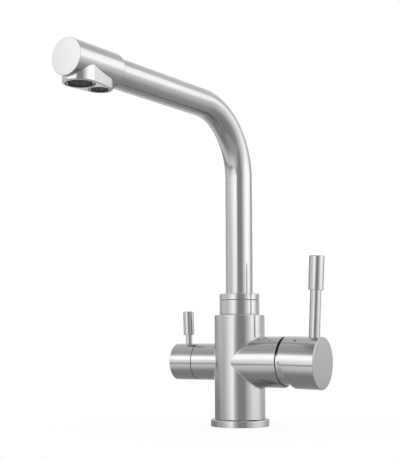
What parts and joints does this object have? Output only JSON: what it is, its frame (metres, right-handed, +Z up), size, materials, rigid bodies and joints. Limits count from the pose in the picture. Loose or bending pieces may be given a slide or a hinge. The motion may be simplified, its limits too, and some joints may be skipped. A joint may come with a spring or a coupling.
{
  "type": "kitchen mixer tap",
  "caption": "Deck-mounted kitchen mixer tap with a swivelling L-shaped spout, a mixer lever and a smaller filter lever.",
  "frame": {"origin": "centre of the flange's underside, on the deck, on the body's axis", "axes": "+Z up the body, +X towards the mixer handle, -Y towards the user, where the spout points"},
  "size_m": [0.1514, 0.2658, 0.3057],
  "materials": {
    "brushed_stainless": "brushed",
    "turned_stainless": "turned",
    "black_screw": "oiled black",
    "brass_part": "machined",
    "aerator_metal": "dull",
    "aerator_plastic": "moulded",
    "white_plastic": "moulded",
    "grey_plastic": "moulded",
    "ceramic": "ground and polished",
    "seal_rubber": "moulded"
  },
  "bodies": {
    "tap_body": {"base_flange": "brushed_stainless", "base_gasket": "seal_rubber", "body_shell": "brushed_stainless", "cartridge_base": "grey_plastic", "cartridge_port_seals": "seal_rubber", "fixed_disc": "ceramic", "cartridge_housing": "grey_plastic", "cartridge_nut": "brass_part", "bonnet_ring": "brushed_stainless", "filter_valve_seal": "seal_rubber", "filter_valve_body": "brass_part", "filter_fixed_disc": "ceramic", "swivel_collar": "brushed_stainless"},
    "mixer_rotor": {"cartridge_rotor": "white_plastic", "stem_pin": "turned_stainless"},
    "mixer_handle": {"lever_stem": "turned_stainless", "mixer_cap": "brushed_stainless", "index_pip": "grey_plastic", "mixer_grub_screw": "black_screw", "mixer_lever_rod": "brushed_stainless", "mixer_lever_grip": "brushed_stainless"},
    "mixing_disc": {"mixing_disc": "ceramic", "disc_carrier": "white_plastic"},
    "filter_handle": {"filter_turning_disc": "ceramic", "filter_spindle": "brass_part", "spindle_o_ring": "seal_rubber", "spindle_clip": "turned_stainless", "filter_cap": "brushed_stainless", "filter_grub_screw": "black_screw", "filter_lever_rod": "brushed_stainless", "filter_lever_grip": "brushed_stainless"},
    "spout": {"swivel_washer": "white_plastic", "spout_spigot": "turned_stainless", "spigot_o_rings": "seal_rubber", "spout_clip": "turned_stainless", "spout_base_ring": "brushed_stainless", "spout_tube": "brushed_stainless", "filter_tube": "white_plastic", "filter_tube_plug": "brass_part", "filter_tube_o_ring": "seal_rubber", "outlet_head": "brushed_stainless", "outlet_insert": "white_plastic", "main_aerator_housing": "aerator_metal", "main_aerator_screen": "aerator_plastic", "main_aerator_flow_disc": "aerator_plastic", "main_aerator_washer": "seal_rubber", "filter_aerator_housing": "aerator_metal", "filter_aerator_screen": "aerator_plastic", "filter_aerator_flow_disc": "aerator_plastic", "filter_aerator_washer": "seal_rubber"}
  },
  "joints": [
    {"name": "spout_swivel", "type": "hinge", "parent": "tap_body", "child": "spout", "pos_m": [0, 0, 0.1149], "axis": [0, 0, 1], "continuous": true},
    {"name": "mixer_turn", "type": "hinge", "parent": "tap_body", "child": "mixer_rotor", "pos_m": [0.042, 0, 0.0582], "axis": [1, 0, 0], "range_deg": [-45, 45]},
    {"name": "mixer_tilt", "type": "hinge", "parent": "mixer_rotor", "child": "mixer_handle", "pos_m": [0.042, 0, 0.0582], "axis": [0, 1, 0], "range_deg": [0, 20]},
    {"name": "disc_slide", "type": "slide", "parent": "mixer_rotor", "child": "mixing_disc", "axis": [0, 0, 1], "range_m": [0, 0.0044]},
    {"name": "filter_turn", "type": "hinge", "parent": "tap_body", "child": "filter_handle", "pos_m": [-0.054, 0, 0.0582], "axis": [1, 0, 0], "range_deg": [0, 90]}
  ],
  "couplings": [
    {"joint": "disc_slide", "follows": "mixer_tilt", "m_per_rad": 0.0125}
  ]
}
